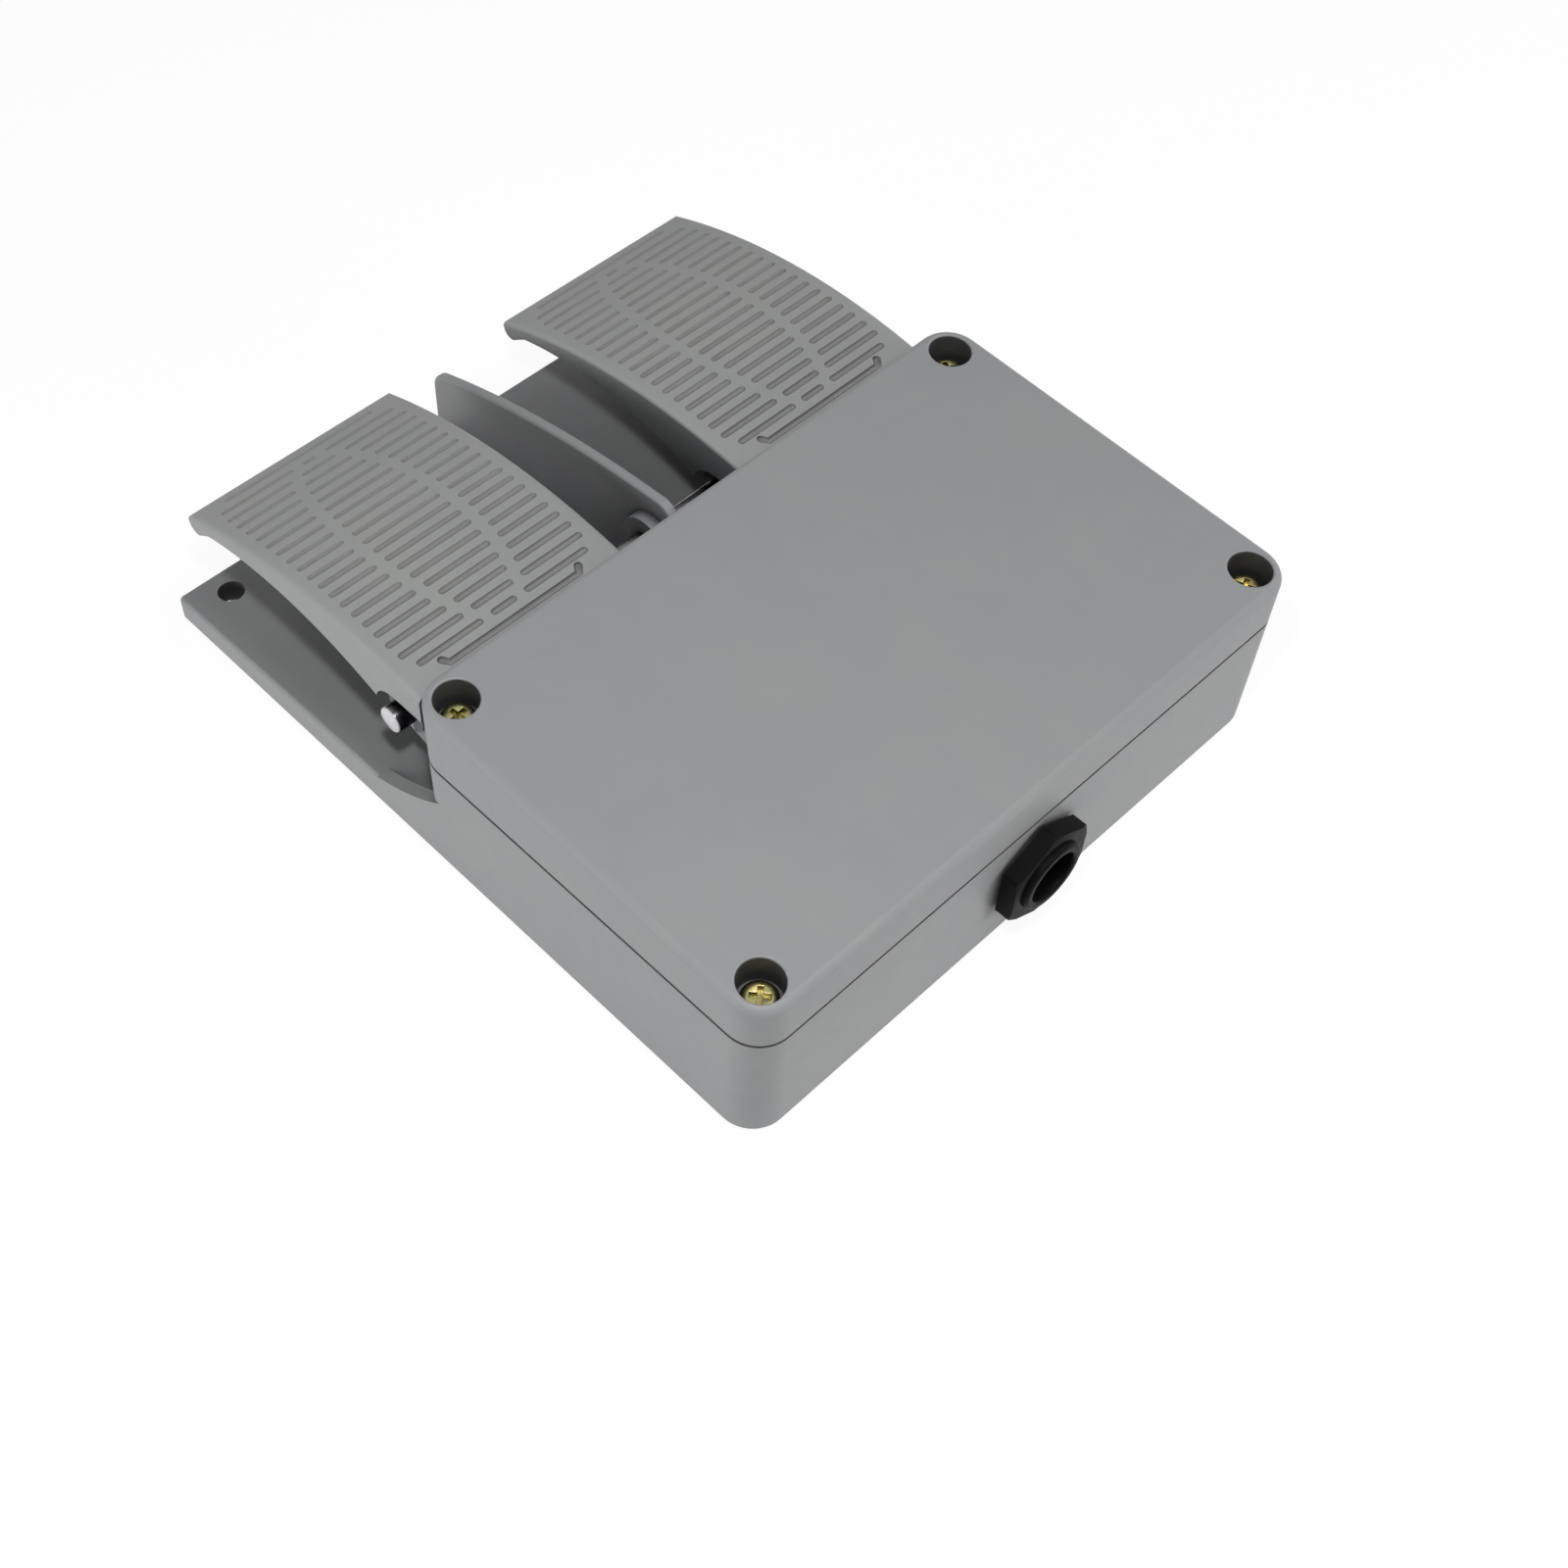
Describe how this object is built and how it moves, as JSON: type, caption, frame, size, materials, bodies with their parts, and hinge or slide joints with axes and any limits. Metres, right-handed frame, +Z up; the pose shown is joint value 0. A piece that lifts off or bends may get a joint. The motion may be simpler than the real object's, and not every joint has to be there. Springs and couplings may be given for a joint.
{
  "type": "industrial foot switch",
  "caption": "Cast industrial foot switch with side-by-side grooved pedals hinged in front of a lidded switch box with a rear cable entry.",
  "frame": {"origin": "middle of the overall length and width, on the surface that the mat stands on", "axes": "+Z up; -Y towards the operator, where the pedal tips are; +Y towards the cable entry; +X to the operator's right"},
  "size_m": [0.2, 0.2426, 0.0641],
  "materials": {
    "body_paint": "satin light grey paint on cast aluminium",
    "lid_paint": "satin light grey paint on cast aluminium",
    "pedal_paint": "satin light grey paint on cast aluminium",
    "mat_rubber": "matt black rubber sheet",
    "gasket_rubber": "matt black rubber",
    "yellow_zinc": "yellow zinc-plated steel",
    "zinc_screw": "bright zinc-plated steel",
    "shaft_steel": "bright turned steel",
    "clip_steel": "spring steel sheet",
    "spring_steel": "drawn spring wire",
    "bush_nylon": "natural nylon",
    "switch_plastic": "moulded black",
    "plunger_plastic": "moulded red",
    "terminal_plastic": "moulded cream",
    "blade_metal": "tinned brass",
    "brass_fitting": "turned brass",
    "bracket_steel": "zinc-plated sheet steel",
    "entry_plastic": "moulded black nylon"
  },
  "bodies": {
    "base": {"base_casting": "body_paint", "lid": "lid_paint", "non_slip_mat": "mat_rubber", "lid_gasket": "gasket_rubber", "lid_screws": "yellow_zinc", "pivot_shaft": "shaft_steel", "shaft_clips": "clip_steel", "bracket_screws": "zinc_screw", "switch_screws": "zinc_screw", "terminal_block": "terminal_plastic", "terminal_screws": "zinc_screw", "earth_screw": "brass_fitting", "earth_tag": "brass_fitting", "entry_bush": "entry_plastic", "entry_nut": "entry_plastic", "entry_seal": "gasket_rubber", "return_spring_left": "spring_steel", "rod_guide_left": "brass_fitting", "switch_body_left": "switch_plastic", "switch_blades_left": "blade_metal", "switch_bracket_left": "bracket_steel", "return_spring_right": "spring_steel", "rod_guide_right": "brass_fitting", "switch_body_right": "switch_plastic", "switch_blades_right": "blade_metal", "switch_bracket_right": "bracket_steel"},
    "pedal_left": {"pedal_left": "pedal_paint", "pedal_bushes_left": "bush_nylon"},
    "push_rod_left": {"push_rod_left": "shaft_steel"},
    "switch_lever_left": {"switch_lever_left": "clip_steel"},
    "switch_plunger_left": {"switch_plunger_left": "plunger_plastic"},
    "pedal_right": {"pedal_right": "pedal_paint", "pedal_bushes_right": "bush_nylon"},
    "push_rod_right": {"push_rod_right": "shaft_steel"},
    "switch_lever_right": {"switch_lever_right": "clip_steel"},
    "switch_plunger_right": {"switch_plunger_right": "plunger_plastic"}
  },
  "joints": [
    {"name": "pedal_left_press", "type": "hinge", "parent": "base", "child": "pedal_left", "pos_m": [-0.0578, -0.02525, 0.0365], "axis": [1, 0, 0], "range_deg": [0, 10], "stiffness_Nm_per_rad": 4, "springref_deg": -11.46, "deforming": ["return_spring_left"]},
    {"name": "push_rod_left_slide", "type": "slide", "parent": "base", "child": "push_rod_left", "axis": [0, 1, 0], "range_m": [0, 0.0028]},
    {"name": "switch_lever_left_swing", "type": "hinge", "parent": "base", "child": "switch_lever_left", "pos_m": [-0.0578, 0.00825, 0.0345], "axis": [1, 0, 0], "range_deg": [0, 11.4]},
    {"name": "switch_plunger_left_slide", "type": "slide", "parent": "base", "child": "switch_plunger_left", "axis": [0, 1, 0], "range_m": [0, 0.00103]},
    {"name": "pedal_right_press", "type": "hinge", "parent": "base", "child": "pedal_right", "pos_m": [0.0578, -0.02525, 0.0365], "axis": [1, 0, 0], "range_deg": [0, 10], "stiffness_Nm_per_rad": 4, "springref_deg": -11.46, "deforming": ["return_spring_right"]},
    {"name": "push_rod_right_slide", "type": "slide", "parent": "base", "child": "push_rod_right", "axis": [0, 1, 0], "range_m": [0, 0.0028]},
    {"name": "switch_lever_right_swing", "type": "hinge", "parent": "base", "child": "switch_lever_right", "pos_m": [0.0578, 0.00825, 0.0345], "axis": [1, 0, 0], "range_deg": [0, 11.4]},
    {"name": "switch_plunger_right_slide", "type": "slide", "parent": "base", "child": "switch_plunger_right", "axis": [0, 1, 0], "range_m": [0, 0.00103]}
  ],
  "couplings": [
    {"joint": "push_rod_left_slide", "follows": "pedal_left_press", "m_per_rad": 0.016},
    {"joint": "switch_lever_left_swing", "follows": "pedal_left_press", "ratio": 1.132},
    {"joint": "switch_plunger_left_slide", "follows": "pedal_left_press", "m_per_rad": 0.0058},
    {"joint": "push_rod_right_slide", "follows": "pedal_right_press", "m_per_rad": 0.016},
    {"joint": "switch_lever_right_swing", "follows": "pedal_right_press", "ratio": 1.132},
    {"joint": "switch_plunger_right_slide", "follows": "pedal_right_press", "m_per_rad": 0.0058}
  ]
}
